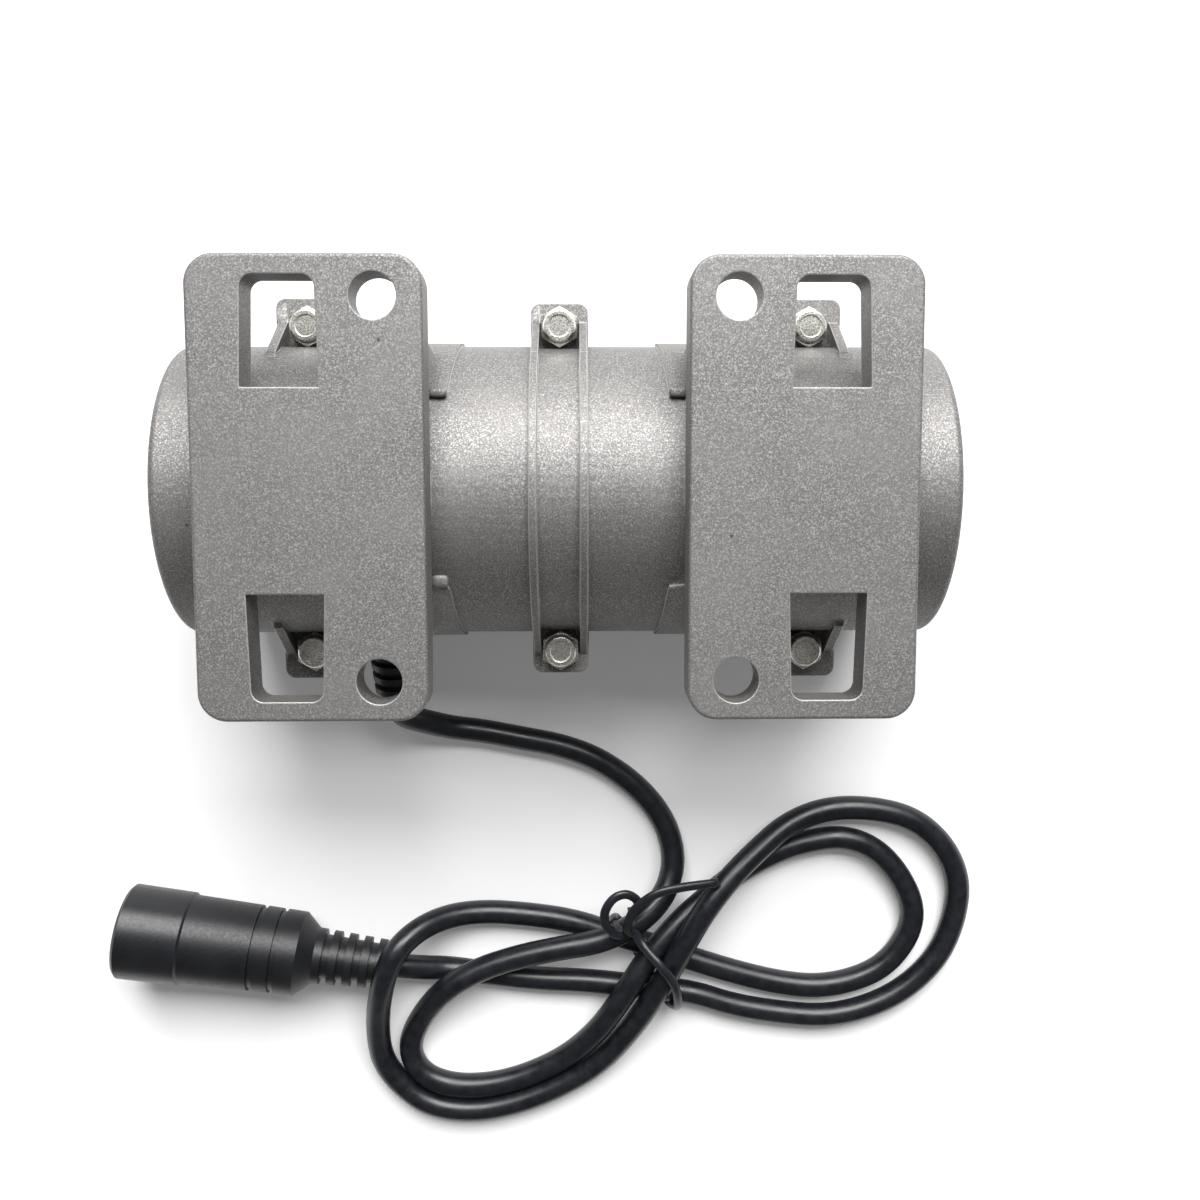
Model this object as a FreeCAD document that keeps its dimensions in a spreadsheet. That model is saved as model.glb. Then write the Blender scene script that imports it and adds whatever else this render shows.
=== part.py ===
import FreeCAD, Part
import math
import os
import re
import Sketcher
from FreeCAD import Placement, Rotation, Vector

# A small brushless vibration motor with two bolt-down feet, lying on its crown with the feet up.
# Lengths are in millimetres. Every piece is drawn about the barrel's axis, which runs along X,
# and is then lifted by axis_height, so that z = 0 is the surface the crown rests on.

SIZES = {
    # housing
    "axis_height": 30.0,
    "half_length": 78.5,
    "barrel_radius": 29.0,
    "dome_radius": 96.0,
    "wall": 3.0,
    "rim_round": 1.6,
    "rib_radius": 30.5,
    "rib_inner": 3.95,
    "rib_outer": 5.4,
    "land_half": 52.0,
    "land_width": 9.0,
    # cavity
    "stator_half": 18.0,
    "stator_radius": 26.0,
    "chamber_radius": 25.0,
    "web_left": 41.8,
    "web_right": 41.0,
    "web_outer": 51.8,
    "seat_left": 42.8,
    "seat_right": 42.0,
    "seat_outer": 50.8,
    "lip_radius": 11.0,
    # ears and their fasteners
    "ear_spacing": 49.3,
    "ear_thickness": 5.0,
    "ear_root": 26.6,
    "middle_ear_half": 5.7,
    "middle_ear_reach": 37.1,
    "end_ear_half": 6.8,
    "end_ear_reach": 38.0,
    "ear_corner": 2.0,
    "end_wall_inner": 4.6,
    "end_wall_outer": 6.4,
    "wall_reach": 33.3,
    "wall_top": 15.2,
    "wall_lean": 26.5,
    "spot_reach": 27.9,
    "spot_height": 8.0,
    "screw_offset": 32.1,
    "screw_radius": 2.0,
    "screw_hole": 2.2,
    "screw_end": 9.6,
    "head_radius": 3.5,
    "head_height": 4.0,
    "key_across": 3.0,
    "key_depth": 2.2,
    "nut_across": 7.0,
    "nut_height": 5.0,
    "nut_hex_height": 3.3,
    "nut_collar": 3.3,
    "nut_crown": 2.85,
    "insert_radius": 2.6,
    "insert_thickness": 1.3,
    "insert_cover": 0.3,
    # feet
    "foot_plane": 36.4,
    "foot_thickness": 7.5,
    "foot_inner": 23.1,
    "foot_outer": 64.0,
    "foot_half_width": 40.75,
    "foot_corner": 5.2,
    "foot_edge": 0.6,
    "bolt_hole": 4.1,
    "bolt_x": 31.7,
    "bolt_y": 33.6,
    "slot_inner": 41.1,
    "slot_outer": 54.9,
    "slot_start": 18.0,
    "slot_end": 37.2,
    "slot_corner": 2.2,
    "slot_draft": 0.5,
    "block_inner": 24.0,
    "block_outer": 61.5,
    "block_half": 17.3,
    "web_thickness": 4.0,
    "web_half_top": 28.0,
    "web_half_foot": 26.4,
    "web_foot": 13.0,
    "pad_radius": 29.65,
    "pad_inner": 19.2,
    "pad_inner_top": 20.7,
    "pad_outer": 56.6,
    "pad_outer_top": 56.1,
    "pad_end": 17.6,
    # bearings, 10 x 26 x 8
    "bearing_bore": 5.0,
    "bearing_radius": 13.0,
    "bearing_half": 4.0,
    "bearing_x": 46.8,
    "pitch_radius": 9.0,
    "ball_radius": 2.38,
    "race_radius": 2.45,
    "outer_land": 10.9,
    "inner_land": 7.1,
    "shield_step": 3.2,
    "shield_thickness": 0.4,
    "shield_rim": 11.4,
    "shield_bore": 7.3,
    "cage_half": 2.8,
    "cage_inner": 8.4,
    "cage_outer": 9.6,
    "cage_pocket": 2.46,
    # rotor
    "shaft_radius": 5.0,
    "shaft_core": 6.0,
    "shaft_half": 71.0,
    "shaft_chamfer": 0.6,
    "flat_height": 4.4,
    "clip_width": 0.8,
    "clip_groove": 4.6,
    "clip_radius": 6.8,
    "core_radius": 11.0,
    "magnet_radius": 13.0,
    "magnet_half_angle": 41.0,
    "weight_start": 54.8,
    "weight_length": 15.5,
    "weight_radius": 22.0,
    "weight_half_angle": 75.0,
    "hub_radius": 9.0,
    "hub_side": 8.2,
    "set_screw_radius": 2.5,
    "set_screw_top": 8.6,
    "set_key_across": 2.5,
    # stator
    "bore_radius": 13.6,
    "slot_mouth": 1.25,
    "shoe_foot": 15.4,
    "shoe_top": 16.4,
    "yoke_chord": 20.2,
    "yoke_radius": 21.4,
    "insulator_thickness": 1.5,
    "insulator_radius": 24.6,
    "coil_inner": 16.8,
    "coil_outer": 20.0,
    "coil_half_width": 6.8,
    "coil_half_length": 24.0,
    "tooth_half": 4.0,
    # driver board
    "board_radius": 23.0,
    "board_bore": 12.0,
    "board_thickness": 1.6,
    "board_screw_place": 20.0,
    "board_screw": 1.25,
    "board_screw_depth": 3.5,
    "part_place": 17.5,
    # cord outlet
    "gland_x": -37.0,
    "gland_angle": 18.0,
    "gland_neck": 4.5,
    "gland_root": 24.5,
    "gland_seat": 30.6,
    "gland_boss": 6.0,
    "gland_flange": 5.6,
    "gland_flange_end": 32.6,
    "gland_tip": 46.0,
    "gland_rib_radius": 5.3,
    "gland_tip_radius": 4.3,
    "gland_slot_depth": 1.1,
    # cord
    "cord_radius": 2.8,
    "tie_radius": 0.9,
    "hank_height": 13.5,
    "hank_round": 4.5,
    # connector, measured from its open face along its own axis
    "plug_x": -100.5,
    "plug_y": -100.4,
    "plug_z": 11.05,
    "plug_turn": -9.3,
    "plug_dip": 2.2,
    "sleeve_radius": 10.6,
    "sleeve_back_radius": 10.4,
    "sleeve_length": 14.5,
    "socket_radius": 8.6,
    "socket_depth": 11.0,
    "body_radius": 9.9,
    "body_back_radius": 9.4,
    "body_length": 40.0,
    "body_taper_end": 43.5,
    "relief_radius": 6.3,
    "relief_tip_radius": 5.6,
    "relief_end": 59.5,
    "insert_face": 3.0,
    "pin_radius": 0.8,
    "pin_circle": 4.2,
}

doc = FreeCAD.newDocument("vibration_motor")
sheet = doc.addObject("Spreadsheet::Sheet", "Dims")


def fill_sheet():
    """Write each size and its name into the sheet."""
    for row, (name, size) in enumerate(SIZES.items(), start=1):
        sheet.set(f"A{row}", name.replace("_", " "))
        sheet.set(f"B{row}", str(size))
        sheet.setAlias(f"B{row}", name)
    doc.recompute()


def formula(text):
    """Point each size's name in a formula at its cell."""
    return re.sub(r"[a-z_]+", lambda word: f"Dims.{word[0]}" if word[0] in SIZES else word[0], text)


def value(text):
    """Work a formula of sizes out to a number."""
    return float(sheet.evalExpression(formula(text)))


def bind(part, **formulas):
    """Bind properties of a part to formulas of sizes."""
    for name, text in formulas.items():
        part.setExpression(name, formula(text))


def place(part, x="0", y="0", z="0"):
    """Bind a part's place to formulas of sizes."""
    for axis, text in zip("xyz", (x, y, z)):
        part.setExpression(f"Placement.Base.{axis}", formula(text))
    return part


# ---------------------------------------------------------------- sketches and features


def start_body(name, turn=None, x="0", y="0", z="axis_height"):
    """Make an empty body on the barrel's axis, or turned and placed elsewhere."""
    body = doc.addObject("PartDesign::Body", name)
    if turn:
        body.Placement = Placement(Vector(), turn)
    return place(body, x, y, z)


def start_sketch(body, name, plane, lift="0", tilt="0"):
    """Attach an empty sketch to one of the body's own planes, lifted off it or tilted about X."""
    sketch = body.newObject("Sketcher::SketchObject", name)
    origin = [feature for feature in body.Origin.OriginFeatures if feature.Role == plane]
    sketch.AttachmentSupport = [(origin[0], "")]
    sketch.MapMode = "FlatFace"
    sketch.AttachmentOffset = Placement(Vector(), Rotation(Vector(1, 0, 0), value(tilt)))
    sketch.setExpression("AttachmentOffset.Base.y", formula(f"-({lift}) * sin({tilt} * 1 deg)"))
    sketch.setExpression("AttachmentOffset.Base.z", formula(f"({lift}) * cos({tilt} * 1 deg)"))
    return sketch


def arc_between(start, end, radius, turn):
    """Make the shorter arc of a radius from start to end, its centre to the left or the right."""
    side = 1 if turn == "left" else -1
    chord = end - start
    across = Vector(-chord.y, chord.x, 0).normalize()
    reach = math.sqrt(max(radius**2 - chord.Length**2 / 4, 0))
    centre = (start + end) / 2 + across * reach * side
    first, last = (start, end) if side > 0 else (end, start)
    low = math.atan2(first.y - centre.y, first.x - centre.x)
    high = math.atan2(last.y - centre.y, last.x - centre.x)
    if high <= low:
        high += 2 * math.pi
    return Part.ArcOfCircle(Part.Circle(centre, Vector(0, 0, 1), radius), low, high)


def set_datum(sketch, kind, *where, text):
    """Add a driving dimension that follows a formula."""
    number = sketch.addConstraint(Sketcher.Constraint(kind, *where, value(text)))
    sketch.setExpression(f"Constraints[{number}]", formula(text))


def draw(sketch, corners):
    """Draw a closed outline through corners, each (across, up) and for an arc its radius and turn."""
    points = [Vector(value(corner[0]), value(corner[1]), 0) for corner in corners]
    first = sketch.GeometryCount
    ends = []
    for index, corner in enumerate(corners):
        start, end = points[index], points[(index + 1) % len(points)]
        if len(corner) == 2:
            sketch.addGeometry(Part.LineSegment(start, end))
            ends.append((1, 2))
        else:
            sketch.addGeometry(arc_between(start, end, value(corner[2]), corner[3]))
            ends.append((1, 2) if corner[3] == "left" else (2, 1))
    for index, corner in enumerate(corners):
        edge = first + index
        before = first + (index - 1) % len(corners)
        joint = (before, ends[index - 1][1], edge, ends[index][0])
        sketch.addConstraint(Sketcher.Constraint("Coincident", *joint))
        set_datum(sketch, "DistanceX", edge, ends[index][0], text=corner[0])
        set_datum(sketch, "DistanceY", edge, ends[index][0], text=corner[1])
        if len(corner) > 2:
            set_datum(sketch, "Radius", edge, text=corner[2])


def draw_circle(sketch, x, y, radius):
    """Draw a circle whose centre and radius follow formulas."""
    centre = Vector(value(x), value(y), 0)
    edge = sketch.addGeometry(Part.Circle(centre, Vector(0, 0, 1), value(radius)))
    set_datum(sketch, "DistanceX", edge, 3, text=x)
    set_datum(sketch, "DistanceY", edge, 3, text=y)
    set_datum(sketch, "Radius", edge, text=radius)


def draw_rounded(sketch, left, right, low, high, corner):
    """Draw a rectangle with four round corners."""
    draw(
        sketch,
        [
            (f"{left} + {corner}", low),
            (f"{right} - {corner}", low, corner, "left"),
            (right, f"{low} + {corner}"),
            (right, f"{high} - {corner}", corner, "left"),
            (f"{right} - {corner}", high),
            (f"{left} + {corner}", high, corner, "left"),
            (left, f"{high} - {corner}"),
            (left, f"{low} + {corner}", corner, "left"),
        ],
    )


def extrude(body, kind, sketch, length, back=False):
    """Pad or pocket a sketch, along its normal for a pad and against it for a pocket unless back."""
    feature = body.newObject(f"PartDesign::{kind}", f"{sketch.Name}_{kind.lower()}")
    feature.Profile = sketch
    feature.Reversed = back
    bind(feature, Length=length)
    doc.recompute()
    return feature


def turn_profile(body, kind, sketch, angle=360, back=False):
    """Revolve a sketch about its own horizontal axis, as material or as a groove."""
    feature = body.newObject(f"PartDesign::{kind}", f"{sketch.Name}_{kind.lower()}")
    feature.Profile = sketch
    feature.ReferenceAxis = (sketch, ["H_Axis"])
    feature.Angle = angle
    feature.Reversed = back
    doc.recompute()
    return feature


def round_edges(body, name, radius, chosen):
    """Fillet the edges of the body's last feature that a test picks."""
    base = body.Tip
    edges = [f"Edge{number}" for number, edge in enumerate(base.Shape.Edges, 1) if chosen(edge)]
    feature = body.newObject("PartDesign::Fillet", name)
    feature.Base = (base, edges)
    bind(feature, Radius=radius)
    doc.recompute()
    return feature


def turned_piece(name, corners, **where):
    """Make a body by revolving one outline about its own X axis."""
    body = start_body(name, **where)
    sketch = start_sketch(body, f"{name}_profile", "XY_Plane")
    draw(sketch, corners)
    turn_profile(body, "Revolution", sketch)
    return body


def group(name, source, placements):
    """Repeat a piece at several places, as separate solids of one object."""
    links = []
    for number, placement in enumerate(placements):
        link = doc.addObject("App::Link", f"{name}_copy{number}")
        link.LinkedObject = source
        link.LinkTransform = True
        link.Placement = placement
        links.append(link)
    compound = doc.addObject("Part::Compound", name)
    compound.Links = links
    return place(compound, z="axis_height")


def compound_of(name, pieces):
    """Hold several solids in one object."""
    compound = doc.addObject("Part::Compound", name)
    compound.Links = list(pieces)
    return compound


# ---------------------------------------------------------------- housing shells

RIM = "(half_length - dome_radius + sqrt(dome_radius^2 - barrel_radius^2))"
INNER_DOME = "(dome_radius - wall)"
INNER_RIM = f"(half_length - dome_radius + sqrt({INNER_DOME}^2 - stator_radius^2))"

BARREL = [
    ("-half_length", "0", "dome_radius", "right"),
    (f"-{RIM}", "barrel_radius"),
    ("-rib_outer", "barrel_radius"),
    ("-rib_outer", "rib_radius"),
    ("-rib_inner", "rib_radius"),
    ("-rib_inner", "barrel_radius"),
    ("rib_inner", "barrel_radius"),
    ("rib_inner", "rib_radius"),
    ("rib_outer", "rib_radius"),
    ("rib_outer", "barrel_radius"),
    (RIM, "barrel_radius", "dome_radius", "right"),
    ("half_length", "0"),
]

CAVITY = [
    ("-half_length + wall", "0", INNER_DOME, "right"),
    (f"-{INNER_RIM}", "stator_radius"),
    ("-web_outer", "stator_radius"),
    ("-web_outer", "lip_radius"),
    ("-seat_outer", "lip_radius"),
    ("-seat_outer", "bearing_radius"),
    ("-seat_left", "bearing_radius"),
    ("-seat_left", "lip_radius"),
    ("-web_left", "lip_radius"),
    ("-web_left", "chamber_radius"),
    ("-stator_half", "chamber_radius"),
    ("-stator_half", "stator_radius"),
    ("stator_half", "stator_radius"),
    ("stator_half", "chamber_radius"),
    ("web_right", "chamber_radius"),
    ("web_right", "lip_radius"),
    ("seat_right", "lip_radius"),
    ("seat_right", "bearing_radius"),
    ("seat_outer", "bearing_radius"),
    ("seat_outer", "lip_radius"),
    ("web_outer", "lip_radius"),
    ("web_outer", "stator_radius"),
    (INNER_RIM, "stator_radius", INNER_DOME, "right"),
    ("half_length - wall", "0"),
]

EARS = [
    ("-ear_spacing", "end_ear_half", "end_ear_reach", "end_wall_inner", "end_wall_outer"),
    ("0", "middle_ear_half", "middle_ear_reach", "rib_inner", "rib_outer"),
    ("ear_spacing", "end_ear_half", "end_ear_reach", "end_wall_inner", "end_wall_outer"),
]


def add_barrel(body, name, upper):
    """Turn half of the barrel, with its domed ends and the two ribs round its middle."""
    sketch = start_sketch(body, f"{name}_barrel", "XY_Plane")
    draw(sketch, BARREL)
    turn_profile(body, "Revolution", sketch, 180, back=not upper)
    rim = value(RIM)
    radius = value("barrel_radius")

    def is_rim(edge):
        middle = edge.valueAt((edge.FirstParameter + edge.LastParameter) / 2)
        far_out = abs(math.hypot(middle.y, middle.z) - radius) < 0.01
        return far_out and abs(abs(middle.x) - rim) < 0.01

    round_edges(body, f"{name}_rim", "rim_round", is_rim)


def add_ears(body, name, upper):
    """Add the six ears at the joint, and the two walls that stiffen each."""
    sketch = start_sketch(body, f"{name}_ears", "XY_Plane")
    for x, half, reach, _, _ in EARS:
        for side in ("", "-"):
            low, high = ("ear_root", reach) if side == "" else (f"-{reach}", "-ear_root")
            draw_rounded(sketch, f"{x} - {half}", f"{x} + {half}", low, high, "ear_corner")
    extrude(body, "Pad", sketch, "ear_thickness", back=not upper)
    sign = "" if upper else "-"
    number = 0
    for x, _, _, inner, outer in EARS:
        for start in (f"{x} - {outer}", f"{x} + {inner}"):
            number += 1
            wall = start_sketch(body, f"{name}_ear_wall{number}", "YZ_Plane", lift=start)
            for side in ("", "-"):
                draw(
                    wall,
                    [
                        (f"{side}stator_radius * 0.9", "0"),
                        (f"{side}wall_reach", "0"),
                        (f"{side}wall_reach", f"{sign}ear_thickness"),
                        (f"{side}wall_lean", f"{sign}wall_top"),
                        (f"{side}stator_radius * 0.9", f"{sign}wall_top"),
                    ],
                )
            extrude(body, "Pad", wall, f"{outer} - {inner}")


def cut_ears(body, name, upper):
    """Cut the flat seats beside the barrel for nuts or screw heads, and the screw holes."""
    lift = "ear_thickness" if upper else "-ear_thickness"
    seats = start_sketch(body, f"{name}_seats", "XY_Plane", lift=lift)
    holes = start_sketch(body, f"{name}_screw_holes", "XY_Plane")
    for x, _, reach, inner, _ in EARS:
        for side in ("", "-"):
            left, right = f"{x} - {inner}", f"{x} + {inner}"
            near, far = f"{side}spot_reach", f"{side}({reach} + 1)"
            draw(seats, [(left, near), (right, near), (right, far), (left, far)])
            draw_circle(holes, x, f"{side}screw_offset", "screw_hole")
    extrude(body, "Pocket", seats, "spot_height", back=upper)
    extrude(body, "Pocket", holes, "ear_thickness + 1", back=upper)


def hollow_out(body, name, upper):
    """Turn out the cavity, leaving two bearing webs and the stator's seat, and drill for the board."""
    sketch = start_sketch(body, f"{name}_cavity", "XY_Plane")
    draw(sketch, CAVITY)
    turn_profile(body, "Groove", sketch)
    hole = start_sketch(body, f"{name}_board_hole", "YZ_Plane", lift="-web_left")
    draw_circle(hole, "0", "board_screw_place" if upper else "-board_screw_place", "board_screw")
    extrude(body, "Pocket", hole, "board_screw_depth + 1")


def add_pads(body):
    """Raise the four shallow pads on the barrel's flanks that carry the feet."""
    plan = start_sketch(body, "pads", "XY_Plane")
    for x in ("", "-"):
        for side in ("", "-"):
            draw(
                plan,
                [
                    (f"{x}pad_inner", f"{side}rib_radius"),
                    (f"{x}pad_inner_top", f"{side}pad_end"),
                    (f"{x}pad_outer_top", f"{side}pad_end"),
                    (f"{x}pad_outer", f"{side}rib_radius"),
                ],
            )
    extrude(body, "Pad", plan, "stator_radius")
    trim = start_sketch(body, "pad_trim", "XY_Plane")
    for left, right in (("-pad_outer - 1", "-pad_inner + 1"), ("pad_inner - 1", "pad_outer + 1")):
        low, high = "pad_radius", "pad_radius + 8"
        draw(trim, [(left, low), (right, low), (right, high), (left, high)])
    turn_profile(body, "Groove", trim)


def add_pedestals(body):
    """Join each foot to the barrel by a block along its middle and a wider web at its inner edge."""
    top = "foot_plane - foot_thickness + 0.5"
    for name, start in (("left", "-block_outer"), ("right", "block_inner")):
        block = start_sketch(body, f"{name}_block", "YZ_Plane", lift=start)
        bottom, side = "barrel_radius * 0.6", "block_half"
        draw(block, [(f"-{side}", bottom), (side, bottom), (side, top), (f"-{side}", top)])
        extrude(body, "Pad", block, "block_outer - block_inner")
    for name, start in (("left", "-block_inner - web_thickness"), ("right", "block_inner")):
        web = start_sketch(body, f"{name}_web", "YZ_Plane", lift=start)
        draw(
            web,
            [
                ("-web_half_foot", "web_foot"),
                ("web_half_foot", "web_foot"),
                ("web_half_top", top),
                ("-web_half_top", top),
            ],
        )
        extrude(body, "Pad", web, "web_thickness")


def draw_slot(sketch, x, side):
    """Draw one access slot of a foot: square at its inner end, round at its outer one."""
    turn = "left" if (x == "") == (side == "") else "right"
    draw(
        sketch,
        [
            (f"{x}slot_inner", f"{side}slot_start"),
            (f"{x}slot_outer", f"{side}slot_start"),
            (f"{x}(slot_outer - slot_draft)", f"{side}(slot_end - slot_corner)", "slot_corner", turn),
            (f"{x}(slot_outer - slot_draft - slot_corner)", f"{side}slot_end"),
            (f"{x}(slot_inner + slot_draft + slot_corner)", f"{side}slot_end", "slot_corner", turn),
            (f"{x}(slot_inner + slot_draft)", f"{side}(slot_end - slot_corner)"),
        ],
    )


def add_feet(body):
    """Add the two foot plates with their bolt holes and access slots, and ease their outer edges."""
    plates = start_sketch(body, "feet", "XY_Plane", lift="foot_plane - foot_thickness")
    for x, left, right in (("-", "-foot_outer", "-foot_inner"), ("", "foot_inner", "foot_outer")):
        draw_rounded(plates, left, right, "-foot_half_width", "foot_half_width", "foot_corner")
        for side in ("", "-"):
            draw_circle(plates, f"{x}bolt_x", f"{side}bolt_y", "bolt_hole")
            draw_slot(plates, x, side)
    extrude(body, "Pad", plates, "foot_thickness")
    top = value("foot_plane")
    ends = (value("foot_inner"), value("foot_outer"))
    width = value("foot_half_width")

    def is_outer(edge):
        box = edge.BoundBox
        flat = abs(box.ZMin - top) < 0.01 and abs(box.ZMax - top) < 0.01
        far_x = max(abs(box.XMin), abs(box.XMax)) > ends[1] - 0.01
        near_x = min(abs(box.XMin), abs(box.XMax)) < ends[0] + 0.01
        far_y = max(abs(box.YMin), abs(box.YMax)) > width - 0.01
        return flat and (far_x or near_x or far_y)

    round_edges(body, "feet_edge", "foot_edge", is_outer)


def make_foot_shell():
    """Half of the housing: the one that carries the feet."""
    body = start_body("foot_shell")
    add_barrel(body, "foot", True)
    add_pads(body)
    add_ears(body, "foot", True)
    cut_ears(body, "foot", True)
    add_pedestals(body)
    add_feet(body)
    hollow_out(body, "foot", True)
    return body


def make_crown_shell():
    """The other half of the housing, with a flat land on its crown and the cord's outlet."""
    body = start_body("crown_shell")
    add_barrel(body, "crown", False)
    land = start_sketch(body, "land", "XY_Plane", lift="-axis_height")
    draw_rounded(land, "-land_half", "land_half", "-land_width", "land_width", "ear_corner")
    extrude(body, "Pad", land, "axis_height - stator_radius")
    under = start_sketch(body, "land_face", "XY_Plane", lift="-axis_height")
    draw_rounded(under, "-land_half", "land_half", "-land_width", "land_width", "ear_corner")
    extrude(body, "Pocket", under, "rib_radius - axis_height + 1")
    add_ears(body, "crown", False)
    cut_ears(body, "crown", False)
    boss = start_sketch(body, "outlet_boss", "XZ_Plane", "gland_root", "gland_angle")
    draw_circle(boss, "gland_x", "0", "gland_boss")
    extrude(body, "Pad", boss, "gland_seat - gland_root")
    hollow_out(body, "crown", False)
    outlet = start_sketch(body, "outlet_hole", "XZ_Plane", tilt="gland_angle")
    draw_circle(outlet, "gland_x", "0", "gland_neck")
    extrude(body, "Pocket", outlet, "gland_seat + 1", back=True)
    return body


# ---------------------------------------------------------------- screws and nuts


def hexagon(name, across, height, z):
    """Make a hexagonal prism with two corners on the Y axis."""
    prism = doc.addObject("Part::Prism", name)
    prism.Polygon = 6
    bind(prism, Circumradius=f"{across} / sqrt(3)", Height=height)
    prism.Placement = Placement(Vector(), Rotation(Vector(0, 0, 1), 90))
    return place(prism, z=z)


def cylinder(name, radius, height, z="0"):
    """Make a cylinder that stands on z."""
    piece = doc.addObject("Part::Cylinder", name)
    bind(piece, Radius=radius, Height=height)
    return place(piece, z=z)


def combine(kind, name, base, tool):
    """Cut, fuse or intersect two pieces."""
    piece = doc.addObject(f"Part::{kind}", name)
    piece.Base = base
    piece.Tool = tool
    return piece


def ear_places():
    """The places of the six screws."""
    reach = value("screw_offset")
    spacing = value("ear_spacing")
    return [Vector(x, y, 0) for x in (-spacing, 0, spacing) for y in (-reach, reach)]


def make_shell_screws():
    """Six socket head screws, entered from the crown side."""
    head = cylinder("screw_head", "head_radius", "head_height", "-ear_thickness - head_height")
    length = "ear_thickness + screw_end"
    shank = cylinder("screw_shank", "screw_radius", length, "-ear_thickness")
    key = hexagon("screw_key", "key_across", "key_depth", "-ear_thickness - head_height")
    solid = combine("Fuse", "screw_solid", head, shank)
    screw = combine("Cut", "screw_piece", solid, key)
    return group("shell_screws", screw, [Placement(spot, Rotation()) for spot in ear_places()])


def make_lock_nuts():
    """Six lock nuts: a hexagon that a turned crown rounds off, with a step for the nylon ring."""
    bar = hexagon("nut_bar", "nut_across", "nut_height", "ear_thickness")
    turned = doc.addObject("PartDesign::Body", "nut_form")
    turned.Placement = Placement(Vector(), Rotation(Vector(0, 1, 0), -90))
    place(turned, z="ear_thickness")
    sketch = start_sketch(turned, "nut_profile", "XY_Plane")
    corner = "nut_across / sqrt(3)"
    draw(
        sketch,
        [
            ("0", "screw_radius"),
            ("0", f"{corner} - 0.25"),
            ("0.25", corner),
            ("nut_hex_height - 0.35", corner),
            ("nut_hex_height", "nut_collar", "2.2", "right"),
            ("nut_height", "nut_crown"),
            ("nut_height", "screw_radius + 0.15"),
            ("nut_height - insert_cover", "screw_radius + 0.15"),
            ("nut_height - insert_cover", "insert_radius"),
            ("nut_height - insert_cover - insert_thickness", "insert_radius"),
            ("nut_height - insert_cover - insert_thickness", "screw_radius"),
        ],
    )
    turn_profile(turned, "Revolution", sketch)
    nut = combine("Common", "nut_piece", bar, turned)
    return group("lock_nuts", nut, [Placement(spot, Rotation()) for spot in ear_places()])


def make_nut_inserts():
    """The nylon ring inside each lock nut."""
    start = "ear_thickness + nut_height - insert_cover - insert_thickness"
    ring = cylinder("insert_ring", "insert_radius", "insert_thickness", start)
    bore = cylinder("insert_bore", "screw_radius", "insert_thickness", start)
    insert = combine("Cut", "insert_piece", ring, bore)
    return group("nut_inserts", insert, [Placement(spot, Rotation()) for spot in ear_places()])


# ---------------------------------------------------------------- stator


def tooth_side(reach):
    """How far a slot's straight side is from the slot's middle, so that the teeth are parallel."""
    return f"({reach} - 2 * tooth_half) / sqrt(3)"


def draw_stator_slot(sketch):
    """Draw one winding slot: a narrow mouth, the backs of two tooth shoes and a round bottom."""
    shoe, yoke = tooth_side("shoe_top"), tooth_side("yoke_chord")
    draw(
        sketch,
        [
            ("bore_radius - 1", "-slot_mouth"),
            ("shoe_foot", "-slot_mouth"),
            ("shoe_top", f"-{shoe}"),
            ("yoke_chord", f"-{yoke}", "yoke_radius", "left"),
            ("yoke_chord", yoke),
            ("shoe_top", shoe),
            ("shoe_foot", "slot_mouth"),
            ("bore_radius - 1", "slot_mouth"),
        ],
    )


def toothed_plate(name, radius, start, length):
    """Make a ring with six teeth pointing inwards."""
    body = start_body(name)
    ring = start_sketch(body, f"{name}_ring", "YZ_Plane", lift=start)
    draw_circle(ring, "0", "0", radius)
    draw_circle(ring, "0", "0", "bore_radius")
    extrude(body, "Pad", ring, length)
    slot = start_sketch(body, f"{name}_slot", "YZ_Plane", lift=start)
    draw_stator_slot(slot)
    pocket = extrude(body, "Pocket", slot, length, back=True)
    pattern = body.newObject("PartDesign::PolarPattern", f"{name}_slots")
    pattern.Originals = [pocket]
    pattern.Axis = (ring, ["N_Axis"])
    pattern.Angle = 360
    pattern.Occurrences = 6
    body.Tip = pattern
    doc.recompute()
    return body


def make_insulators():
    """A moulded insulator on each face of the lamination stack."""
    ends = []
    for name, start in (("left", "-stator_half - insulator_thickness"), ("right", "stator_half")):
        thickness = "insulator_thickness"
        ends.append(toothed_plate(f"{name}_insulator", "insulator_radius", start, thickness))
    return compound_of("stator_insulators", ends)


def make_coils():
    """Six coils, one wound round each tooth."""
    body = start_body("coil_form", z="0")
    ring = start_sketch(body, "coil_ring", "XY_Plane", lift="coil_inner")
    length, width = "coil_half_length", "coil_half_width"
    draw_rounded(ring, f"-{length}", length, f"-{width}", width, "2.4")
    end, side = "(stator_half + insulator_thickness)", "tooth_half"
    draw(ring, [(f"-{end}", f"-{side}"), (end, f"-{side}"), (end, side), (f"-{end}", side)])
    extrude(body, "Pad", ring, "coil_outer - coil_inner")
    turns = [Rotation(Vector(1, 0, 0), 60 * number) for number in range(6)]
    return group("stator_coils", body, [Placement(Vector(), turn) for turn in turns])


# ---------------------------------------------------------------- driver board


def board_spot(angle, radius_name, x_formula):
    """A place on the board's face, its own X axis pointing off the board towards the stator."""
    turn = Rotation(Vector(1, 0, 0), angle)
    out = turn.multVec(Vector(0, value(radius_name), 0))
    return Placement(Vector(value(x_formula), out.y, out.z), turn)


BOARD_FACE = "-web_left + board_thickness"


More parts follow.
